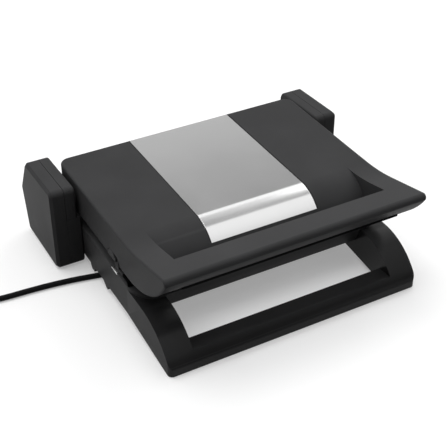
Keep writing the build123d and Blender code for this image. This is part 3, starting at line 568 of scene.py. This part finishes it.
# --- Inner parts --------------------------------------------------------------
INNER_PARTS = (
    # node, piece, finish, slot, edge rounding in mm
    ("hinge_slider_left", "slide_block_left", "slider_plastic", "slider_plastic", 0.3),
    ("hinge_pin_left", "pivot_pin_left", "steel", "steel", 0.4),
    ("hinge_slider_right", "slide_block_right", "slider_plastic", "slider_plastic", 0.3),
    ("hinge_pin_right", "pivot_pin_right", "steel", "steel", 0.4),
    # The keeper's near-black is partly painted shade under the lock tab.
    ("lock_keeper", "keeper", "black_steel_and_shade", "steel", 0.3),
    ("thermostat", "thermostat_body", "steel", "steel", 0.3),
    ("terminal_block", "terminal_body", "white_plastic", "white_plastic", 0.4),
    ("lower_reflector", "lower_reflector_tray", "reflector_sheet", "reflector_sheet", 0.3),
    ("upper_reflector", "upper_reflector_tray", "reflector_sheet", "reflector_sheet", 0.3),
)


class GRILL_OT_inner_parts(bpy.types.Operator):
    """Finish the reflectors, heating elements, hinge parts and other inner parts"""

    bl_idname = "grill.inner_parts"
    bl_label = "Inner parts"

    def execute(self, context):
        for node, name, look, slot, rounding in INNER_PARTS:
            softened(node, name, finish_of(look), slot, rounding * MM)
        for side in ("lower", "upper"):
            element = frame["nodes"][f"{side}_heating_element"]
            element.data.materials.clear()
            element.data.materials.append(finish_of("steel"))
        return {"FINISHED"}


# --- Strike plate on the rim of the base, in mm -------------------------------
STRIKE_SIZE = Vector((2.6, 15.0, 0.7))
STRIKE_REACH = 0.6           # past the side of the base
STRIKE_FOLD = 1.7            # how far its lip folds down
STRIKE_ROUNDING = 0.25
STRIKE_LIFT = 0.01           # above the rim


class GRILL_OT_latch_plate(bpy.types.Operator):
    """Make the bright strike plate under the lock tab, folded over the rim of the base"""

    bl_idname = "grill.latch_plate"
    bl_label = "Strike plate"

    def execute(self, context):
        low, high = (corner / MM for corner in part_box("base_shell"))
        tab_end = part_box("lock_slider")[1].y / MM
        half = STRIKE_SIZE / 2
        plate = block(STRIKE_SIZE)
        plate.name = "strike_plate"
        select_faces(plate, lambda middle, normal: normal.x < -FACING)
        bpy.ops.mesh.extrude_region_move(TRANSFORM_OT_translate={"value": (-STRIKE_REACH * MM, 0, 0)})
        select_faces(plate, lambda middle, normal: normal.z < -FACING and middle.x < -half.x * MM)
        bpy.ops.mesh.extrude_region_move(TRANSFORM_OT_translate={"value": (0, 0, -STRIKE_FOLD * MM)})
        bpy.ops.object.mode_set(mode="OBJECT")
        apply_modifier(plate, "BEVEL", width=STRIKE_ROUNDING * MM, segments=3, limit_method="ANGLE",
                       angle_limit=math.radians(40))
        middle = Vector((low.x + half.x, tab_end - STRIKE_SIZE.y, high.z + half.z + STRIKE_LIFT))
        place_mesh(plate, Matrix.Translation(middle * MM))
        smooth(plate)
        seat(plate, "base", "steel", finish_of("steel"))
        return {"FINISHED"}


# --- Feet, in mm --------------------------------------------------------------
FOOT_RADIUS = 6.5
FOOT_TAPER = 0.3             # the top is smaller by this much
FOOT_TREAD = [(0.5, 1.6), (0.0, 2.2), (0.0, 3.4), (0.4, 3.8), (0.4, 4.6), (0.0, 5.0), (0.0, 5.7),
              (0.25, 6.25), (0.8, FOOT_RADIUS), (2.8, FOOT_RADIUS)]
PAD_LENGTH = 20.0
PAD_RIM = 2.2                # outer rim round the groove in the sole of a pad
PAD_GROOVE = 1.2             # width of the slope of the groove
PAD_GROOVE_DEPTH = 0.8
PAD_ROUNDING = 0.7


class GRILL_OT_feet(bpy.types.Operator):
    """Make the rubber pads under the front foot and the round feet under the towers"""

    bl_idname = "grill.feet"
    bl_label = "Rubber feet"

    def round_foot(self):
        """A round foot with rings in its sole, which stands at the origin."""
        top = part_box("rear_feet")[1].z / MM
        return turned("round_foot", FOOT_TREAD + [(top, FOOT_RADIUS - FOOT_TAPER)], sides=40)

    def pad(self, size):
        """A flat pad with a groove in its sole, round the origin."""
        pad = block(size)
        select_faces(pad, lambda middle, normal: normal.z < -FACING)
        bpy.ops.mesh.inset(thickness=PAD_RIM * MM)
        bpy.ops.transform.translate(value=(0, 0, PAD_GROOVE_DEPTH * MM))
        bpy.ops.mesh.inset(thickness=PAD_GROOVE * MM)
        bpy.ops.transform.translate(value=(0, 0, -PAD_GROOVE_DEPTH * MM))
        bpy.ops.object.mode_set(mode="OBJECT")
        apply_modifier(pad, "BEVEL", width=PAD_ROUNDING * MM, segments=3, limit_method="ANGLE",
                       angle_limit=math.radians(50))
        return pad

    def spread(self, pattern, places, name, node):
        """One piece with a copy of the pattern at each place in mm, in place of a node."""
        copies = [copy_of(pattern, f"{name}_part", Matrix.Translation(Vector(place) * MM))
                  for place in places]
        bpy.data.objects.remove(pattern)
        piece = joined(name, copies)
        smooth(piece)
        seat(piece, "base", "rubber", finish_of("rubber"), node)

    def execute(self, context):
        places = [(x, y, 0) for x, y in corners("rear_feet", FOOT_RADIUS)]
        self.spread(self.round_foot(), places, "round_feet", "rear_feet")
        low, high = (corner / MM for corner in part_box("front_foot_pads"))
        middle = (low + high) / 2
        places = [(x, middle.y, middle.z) for x in (low.x + PAD_LENGTH / 2, high.x - PAD_LENGTH / 2)]
        pad = self.pad(Vector((PAD_LENGTH, high.y - low.y, high.z - low.z)))
        self.spread(pad, places, "front_pads", "front_foot_pads")
        return {"FINISHED"}


# --- Screws, in mm ------------------------------------------------------------
SCREW_HEAD_RADIUS = 3.5
SCREW_HEAD_HEIGHT = 2.2
SCREW_LENGTH = 10.2
THREAD_RADIUS = 1.6
THREAD_ROOT = 1.25
THREAD_PITCH = 0.55
POINT_LENGTH = 1.0           # plain end of the screw
POINT_RADIUS = 0.5
RECESS_LENGTH = 3.6          # one bar of the cross in the head
RECESS_WIDTH = 0.75
RECESS_DEPTH = 1.3
RECESS_TAPER = 0.6           # size of the bar at its bottom
SCREW_HEAD = [(0.0, 1.9), (0.18, 2.7), (0.7, 3.25), (1.4, SCREW_HEAD_RADIUS),
              (SCREW_HEAD_HEIGHT, SCREW_HEAD_RADIUS), (SCREW_HEAD_HEIGHT, THREAD_RADIUS)]


class GRILL_OT_screws(bpy.types.Operator):
    """Make the pan-head screws of the bottom cover, the towers and the knuckles"""

    bl_idname = "grill.screws"
    bl_label = "Screws"

    def screw(self):
        """A pan-head screw with a cross recess, its head at the origin and its point up."""
        rings = list(SCREW_HEAD)
        z = SCREW_HEAD_HEIGHT
        while z + 2 * THREAD_PITCH < SCREW_LENGTH - POINT_LENGTH:
            rings += [(z + THREAD_PITCH / 2, THREAD_ROOT), (z + THREAD_PITCH, THREAD_RADIUS)]
            z += THREAD_PITCH
        screw = turned("screw", rings + [(SCREW_LENGTH, POINT_RADIUS)], sides=20)
        for width, depth in ((RECESS_LENGTH, RECESS_WIDTH), (RECESS_WIDTH, RECESS_LENGTH)):
            bar = block(Vector((width, depth, 2 * RECESS_DEPTH)))
            select_faces(bar, lambda middle, normal: normal.z > FACING)
            bpy.ops.transform.resize(value=(RECESS_TAPER, RECESS_TAPER, 1))
            bpy.ops.object.mode_set(mode="OBJECT")
            cut(screw, bar)
        smooth(screw, angle=40)
        return screw

    def places(self, node):
        """Place of the head in mm and direction of each screw of a node."""
        head = SCREW_HEAD_RADIUS
        low, high = (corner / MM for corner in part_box(node))
        if node == "bottom_cover_screws":
            return [((x, y, low.z), (0, 0, 1)) for x, y in corners(node, head)]
        start = high.x - SCREW_LENGTH
        spots = [(y, z) for y in sorted({low.y + head, high.y - head})
                 for z in sorted({low.z + head, high.z - head})]
        return [((side * start, y, z), (side, 0, 0)) for side in (-1, 1) for y, z in spots]

    def execute(self, context):
        screw = self.screw()
        for node in ("bottom_cover_screws", "tower_screws", "knuckle_screws"):
            copies = [copy_of(screw, f"{node}_part", toward(direction, place))
                      for place, direction in self.places(node)]
            piece = joined(f"{node}_set", copies)
            seat(piece, frame["nodes"][node]["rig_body"], "steel", finish_of("steel"), node)
        bpy.data.objects.remove(screw)
        return {"FINISHED"}


# --- Cord ---------------------------------------------------------------------
# Route from the strain relief to the coil, in mm.
ROUTE = [
    (-92.0, 11.0, 5.5), (-111.0, 13.0, 4.9), (-134.0, 18.3, 3.6), (-161.0, 24.6, 3.5),
    (-198.0, 32.6, 3.5), (-240.0, 37.5, 3.5), (-284.0, 39.5, 3.5), (-322.0, 47.0, 3.5),
    (-350.0, 67.0, 3.5), (-364.0, 93.0, 3.5),
]
ROUTE_END = (-370.0, 117.0, 3.5)
GLAND_START = (-66.1, 8.3, 6.3)

# The coil, in turns from its start: the cord moves inward, up to the second layer and out again.
TURNS = 3.0
POINTS_PER_TURN = 16
INWARD_AT, INWARD_OVER = 0.75, 0.25
UP_AT, UP_OVER = 1.6, 0.25
OUTWARD_AT, OUTWARD_OVER = 2.3, 0.3
LAYER_GAP = 0.1 * MM

# The free end, from the coil to the plug.
LEAD_STEPS = 5
LEAD_HANDLE = 0.38           # reach of the curve's handles, as a share of the way to the plug
LEAD_LIFT = 0.4 * MM         # over the floor at its lowest


def coil_points(radius, diameter):
    """Points of the coil, worked out turn by turn."""
    end, before = Vector(ROUTE_END) * MM, Vector(ROUTE[-1]) * MM
    run = (end - before).normalized()
    centre = end + Vector((-run.y, run.x, 0)) * radius
    start = math.atan2(end.y - centre.y, end.x - centre.x)
    outer, inner = radius + diameter / 2, radius - diameter / 2
    points = []
    for i in range(round(TURNS * POINTS_PER_TURN) + 1):
        turn = i / POINTS_PER_TURN
        inward = (smooth_step((turn - INWARD_AT) / INWARD_OVER)
                  - smooth_step((turn - OUTWARD_AT) / OUTWARD_OVER))
        lift = smooth_step((turn - UP_AT) / UP_OVER)
        reach = outer + (inner - outer) * inward
        angle = start + 2 * math.pi * turn
        points.append(Vector((centre.x + reach * math.cos(angle), centre.y + reach * math.sin(angle),
                              diameter / 2 + lift * (diameter + LAYER_GAP))))
    return points


def lead_points(start, heading, end, diameter):
    """Points of the free end, in one wide arc from the coil down to the floor and up to the plug."""
    points = []
    reach = (end - start).length * LEAD_HANDLE
    first, second = start + heading * reach, end + Vector((reach, 0, 0))
    for i in range(1, LEAD_STEPS):
        t = i / LEAD_STEPS
        point = (1 - t)**3 * start + 3 * (1 - t)**2 * t * first + 3 * (1 - t) * t**2 * second + t**3 * end
        sag = smooth_step(min(t, 1 - t) * 2)
        point.z += (diameter / 2 + LEAD_LIFT - point.z) * sag
        points.append(point)
    return points + [end]


class GRILL_OT_cord(bpy.types.Operator):
    """Lay the power cord along its route, through its coil and into its plug"""

    bl_idname = "grill.cord"
    bl_label = "Power cord"

    def execute(self, context):
        settings = context.scene.grill_cord
        low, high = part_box("mains_plug")
        plug_end = Vector((high.x, (low.y + high.y) / 2, (low.z + high.z) / 2))
        points = [Vector(p) * MM for p in ROUTE]
        points += coil_points(settings.coil_radius, settings.diameter)
        heading = (points[-1] - points[-2]).normalized()
        points += lead_points(points[-1], heading, plug_end, settings.diameter)
        deselect()
        curve = bpy.data.curves.new("power_cord_flex", "CURVE")
        curve.dimensions = "3D"
        curve.bevel_depth = settings.diameter / 2
        curve.bevel_resolution = 6
        curve.resolution_u = 8
        curve.use_fill_caps = True
        spline = curve.splines.new("NURBS")
        spline.points.add(len(points) - 1)
        for point, place in zip(spline.points, points):
            point.co = (*place, 1)
        spline.order_u = 3
        spline.use_endpoint_u = True
        curve.materials.append(finish_of("cord_black"))
        flex = bpy.data.objects.new("power_cord_flex", curve)
        context.scene.collection.objects.link(flex)
        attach(flex, "base")
        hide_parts("power_cord", "cord_coil")
        return {"FINISHED"}


# --- Plug, in mm --------------------------------------------------------------
PLUG_ROUNDING = 0.5
PLUG_BODY = 38.0             # cord end to the face that the pins stand on
RIB_COUNT = 5
RIB_PITCH = 3.6
RIB_START = 8.0              # cord end to the first rib
RIB_THICKNESS = 1.6
RIB_MARGIN = 13.0            # the ribs are narrower than the plug by this much
RIB_RISE = 0.9               # and higher by this much
RIB_LIFT = 0.4
PIN_PITCH = 19.0
SLEEVE_LENGTH = 9.0
SLEEVE = [(0, 2.0), (0, 2.55), (8.6, 2.55), (SLEEVE_LENGTH, 2.35)]
PIN = [(0, 1.5), (0, 2.41), (8.8, 2.41), (9.7, 1.9), (9.98, 1.0)]


class GRILL_OT_plug(bpy.types.Operator):
    """Finish the moulded plug with grip ribs and insulated pins"""

    bl_idname = "grill.plug"
    bl_label = "Mains plug"

    def grip(self, low, high):
        """Ribs across the plug, near its cord end."""
        pattern = block(Vector((RIB_THICKNESS, high.y - low.y - RIB_MARGIN, high.z - low.z + RIB_RISE)))
        bpy.ops.mesh.bevel(offset=PLUG_ROUNDING * MM, segments=3)
        bpy.ops.object.mode_set(mode="OBJECT")
        middle = (low + high) / 2
        ribs = []
        for i in range(RIB_COUNT):
            place = Vector((high.x - RIB_START - RIB_PITCH * i, middle.y, middle.z + RIB_LIFT))
            ribs.append(copy_of(pattern, "plug_rib", Matrix.Translation(place * MM)))
        bpy.data.objects.remove(pattern)
        return joined("plug_grip", ribs)

    def pair(self, name, rings, start, middle):
        """Two turned parts side by side, from a start along X towards the tips of the pins."""
        pattern = turned(name, rings, sides=28)
        copies = [copy_of(pattern, f"{name}_part", toward((-1, 0, 0), (start, y, middle.z)))
                  for y in (middle.y - PIN_PITCH / 2, middle.y + PIN_PITCH / 2)]
        bpy.data.objects.remove(pattern)
        return joined(f"{name}s", copies)

    def execute(self, context):
        softened("mains_plug", "moulded_plug", finish_of("cord_black"), "cord_black", PLUG_ROUNDING * MM, 3)
        low, high = (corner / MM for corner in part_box("mains_plug"))
        middle = (low + high) / 2
        face = high.x - PLUG_BODY
        pieces = (
            (self.grip(low, high), "cord_black"),
            (self.pair("pin_sleeve", SLEEVE, face, middle), "cord_black"),
            (self.pair("pin_tip", PIN, face - SLEEVE_LENGTH, middle), "steel"),
        )
        for piece, slot in pieces:
            smooth(piece)
            seat(piece, "base", slot, finish_of(slot))
        return {"FINISHED"}


# --- Strain relief, in mm -----------------------------------------------------
BOOT_FLANGE = [(0, 3.4), (0, 5.5), (3.4, 5.5), (3.9, 5.3)]
BOOT_RIBS = 6
BOOT_RIBS_START = 4.0
BOOT_PLAIN = 5.0             # length without ribs, both ends together
BOOT_RADIUS = 5.35
BOOT_TAPER = 0.75            # a rib at the very end would be smaller by this much
BOOT_PROFILE = [(0.0, 0.75), (0.32, 0.75), (0.42, 0.0), (0.92, 0.05)]  # share of the pitch, depth
BOOT_TIP = [(-0.5, 4.55), (0.0, 4.2)]  # distance from the end, radius


class GRILL_OT_strain_relief(bpy.types.Operator):
    """Make the tapered, ribbed strain relief where the cord leaves the base"""

    bl_idname = "grill.strain_relief"
    bl_label = "Strain relief"

    def execute(self, context):
        start, end = Vector(GLAND_START), Vector(ROUTE[0])
        length = (end - start).length
        pitch = (length - BOOT_PLAIN) / BOOT_RIBS
        rings = list(BOOT_FLANGE)
        for i in range(BOOT_RIBS):
            z = BOOT_RIBS_START + i * pitch
            radius = BOOT_RADIUS - BOOT_TAPER * z / length
            rings += [(z + share * pitch, radius - depth) for share, depth in BOOT_PROFILE]
        rings += [(length + z, radius) for z, radius in BOOT_TIP]
        piece = turned("cord_boot", rings, sides=32)
        place_mesh(piece, toward(end - start, start))
        smooth(piece, angle=40)
        seat(piece, "base", "cord_black", finish_of("cord_black"), "cord_strain_relief")
        return {"FINISHED"}


# --- Stage --------------------------------------------------------------------
# Brightness of the studio round the grill, by the angle from the front horizon over the top to the back.
STUDIO = ((0, 0.05), (20, 0.06), (40, 0.2), (60, 0.35), (80, 0.4), (100, 0.45), (120, 0.65), (128, 1.2),
          (135, 1.25), (138.5, 0.16), (143, 0.35), (147, 0.62), (160, 0.75), (180, 1.5))
LAMPS = (
    # name, direction to the lamp, angle across it in degrees, strength
    ("top_lamp", (-0.2, 0.25, 1.0), 46, 1.7),
    ("right_lamp", (1.0, 0.35, 0.7), 50, 0.8),
    ("front_lamp", (0.42, -0.5, 0.8), 56, 0.45),
)


FLOOR_SIZE = 40.0
FLOOR_ROUGHNESS = 0.9
SENSOR_WIDTH = 36
NEAREST, FARTHEST = 0.05, 60.0   # what the camera sees, in metres


class GRILL_OT_stage(bpy.types.Operator):
    """Set up the floor, the lights, the world and the camera"""

    bl_idname = "grill.stage"
    bl_label = "Stage"

    def add_floor(self, settings):
        """A wide floor that keeps the shadow of the grill.

        It looks paler to the camera and in reflections than the light that it throws back.
        """
        deselect()
        bpy.ops.mesh.primitive_plane_add(size=FLOOR_SIZE)
        floor = bpy.context.object
        floor.name = "floor"
        material = bpy.data.materials.new("floor")
        material.use_nodes = True
        nodes, links = material.node_tree.nodes, material.node_tree.links
        shader = nodes["Principled BSDF"]
        shader.inputs["Roughness"].default_value = FLOOR_ROUGHNESS
        shader.inputs["Specular IOR Level"].default_value = 0.0
        rays = nodes.new("ShaderNodeLightPath")
        seen = rays.outputs["Is Camera Ray"]
        for kind in ("Is Glossy Ray", "Is Transmission Ray"):
            seen = calculate(nodes, links, "MAXIMUM", seen, rays.outputs[kind])
        links.new(blend(nodes, links, seen, tuple(settings.floor_bounce), tuple(settings.floor_colour)),
                  shader.inputs["Base Color"])
        glow = nodes.new("ShaderNodeEmission")
        glow.inputs["Color"].default_value = (1, 1, 1, 1)
        glow.inputs["Strength"].default_value = 1.0
        mixed = nodes.new("ShaderNodeMixShader")
        links.new(calculate(nodes, links, "MULTIPLY", seen, settings.floor_glow), mixed.inputs[0])
        links.new(shader.outputs[0], mixed.inputs[1])
        links.new(glow.outputs[0], mixed.inputs[2])
        links.new(mixed.outputs[0], nodes["Material Output"].inputs["Surface"])
        floor.data.materials.append(material)

    def add_world(self):
        """A soft studio whose brightness changes from the front over the top to the back."""
        world = bpy.data.worlds.new("studio")
        world.use_nodes = True
        nodes, links = world.node_tree.nodes, world.node_tree.links
        background = nodes["Background"]
        direction = nodes.new("ShaderNodeTexCoord")
        parts = nodes.new("ShaderNodeSeparateXYZ")
        links.new(direction.outputs["Generated"], parts.inputs["Vector"])
        forward = calculate(nodes, links, "MULTIPLY", parts.outputs["Y"], -1.0)
        angle = calculate(nodes, links, "ARCTAN2", parts.outputs["Z"], forward)
        share = calculate(nodes, links, "DIVIDE", angle, math.pi)
        ramp = nodes.new("ShaderNodeValToRGB")
        brightest = max(value for degrees, value in STUDIO)
        elements = ramp.color_ramp.elements
        elements[0].position, elements[1].position = 0.0, 1.0
        for degrees, value in STUDIO[1:-1]:
            elements.new(degrees / 180)
        for element, (degrees, value) in zip(elements, STUDIO):
            element.color = (*[value / brightest] * 3, 1)
        links.new(share, ramp.inputs["Fac"])
        links.new(ramp.outputs["Color"], background.inputs["Color"])
        background.inputs["Strength"].default_value = brightest
        bpy.context.scene.world = world

    def add_lamps(self):
        """Wide soft lamps, each as bright over the whole floor."""
        for name, direction, angle, strength in LAMPS:
            deselect()
            rotation = Vector(direction).to_track_quat("Z", "Y").to_euler()
            bpy.ops.object.light_add(type="SUN", rotation=rotation)
            lamp = bpy.context.object
            lamp.name = name
            lamp.data.angle = math.radians(angle)
            lamp.data.energy = strength

    def add_camera(self, settings):
        """Camera at the viewing angle of the stage settings."""
        turn, lift = settings.camera_azimuth, settings.camera_elevation
        back = Vector((math.sin(turn) * math.cos(lift), -math.cos(turn) * math.cos(lift), math.sin(lift)))
        deselect()
        bpy.ops.object.camera_add(location=Vector(settings.camera_target) + back * settings.camera_distance,
                                  rotation=(-back).to_track_quat("-Z", "Y").to_euler())
        camera = bpy.context.object
        camera.data.lens = settings.lens
        camera.data.sensor_width = SENSOR_WIDTH
        camera.data.clip_start, camera.data.clip_end = NEAREST, FARTHEST
        bpy.context.scene.camera = camera

    def execute(self, context):
        settings = context.scene.grill_stage
        self.add_floor(settings)
        self.add_world()
        self.add_lamps()
        self.add_camera(settings)
        context.scene.view_settings.view_transform = "Standard"
        return {"FINISHED"}


# --- Panel and registration ---------------------------------------------------
SETTINGS = {"grill_finish": GrillFinishSettings, "grill_cord": GrillCordSettings,
            "grill_stage": GrillStageSettings}
OPERATORS = (GRILL_OT_housings, GRILL_OT_foot_frame, GRILL_OT_steel_panel, GRILL_OT_plates,
             GRILL_OT_inner_parts, GRILL_OT_latch_plate, GRILL_OT_feet, GRILL_OT_screws, GRILL_OT_plug,
             GRILL_OT_strain_relief, GRILL_OT_cord, GRILL_OT_stage)


class GRILL_PT_build(bpy.types.Panel):
    """Lists the steps that dress the grill"""

    bl_label = "Grill"
    bl_idname = "GRILL_PT_build"
    bl_space_type = "VIEW_3D"
    bl_region_type = "UI"
    bl_category = "Grill"

    def draw(self, context):
        for name, group in SETTINGS.items():
            for key in group.__annotations__:
                self.layout.prop(getattr(context.scene, name), key)
        for operator in OPERATORS:
            self.layout.operator(operator.bl_idname)


def register():
    """Register the settings, the operators and the panel."""
    for name, group in SETTINGS.items():
        bpy.utils.register_class(group)
        setattr(bpy.types.Scene, name, PointerProperty(type=group))
    for operator in OPERATORS:
        bpy.utils.register_class(operator)
    bpy.utils.register_class(GRILL_PT_build)


def unregister():
    """Take everything that register added away again."""
    bpy.utils.unregister_class(GRILL_PT_build)
    for operator in reversed(OPERATORS):
        bpy.utils.unregister_class(operator)
    for name, group in SETTINGS.items():
        delattr(bpy.types.Scene, name)
        bpy.utils.unregister_class(group)


def main():
    """Dress the grill from the first piece to the stage."""
    register()
    for operator in OPERATORS:
        getattr(bpy.ops.grill, operator.bl_idname.split(".")[1])()


if __name__ == "__main__":
    main()
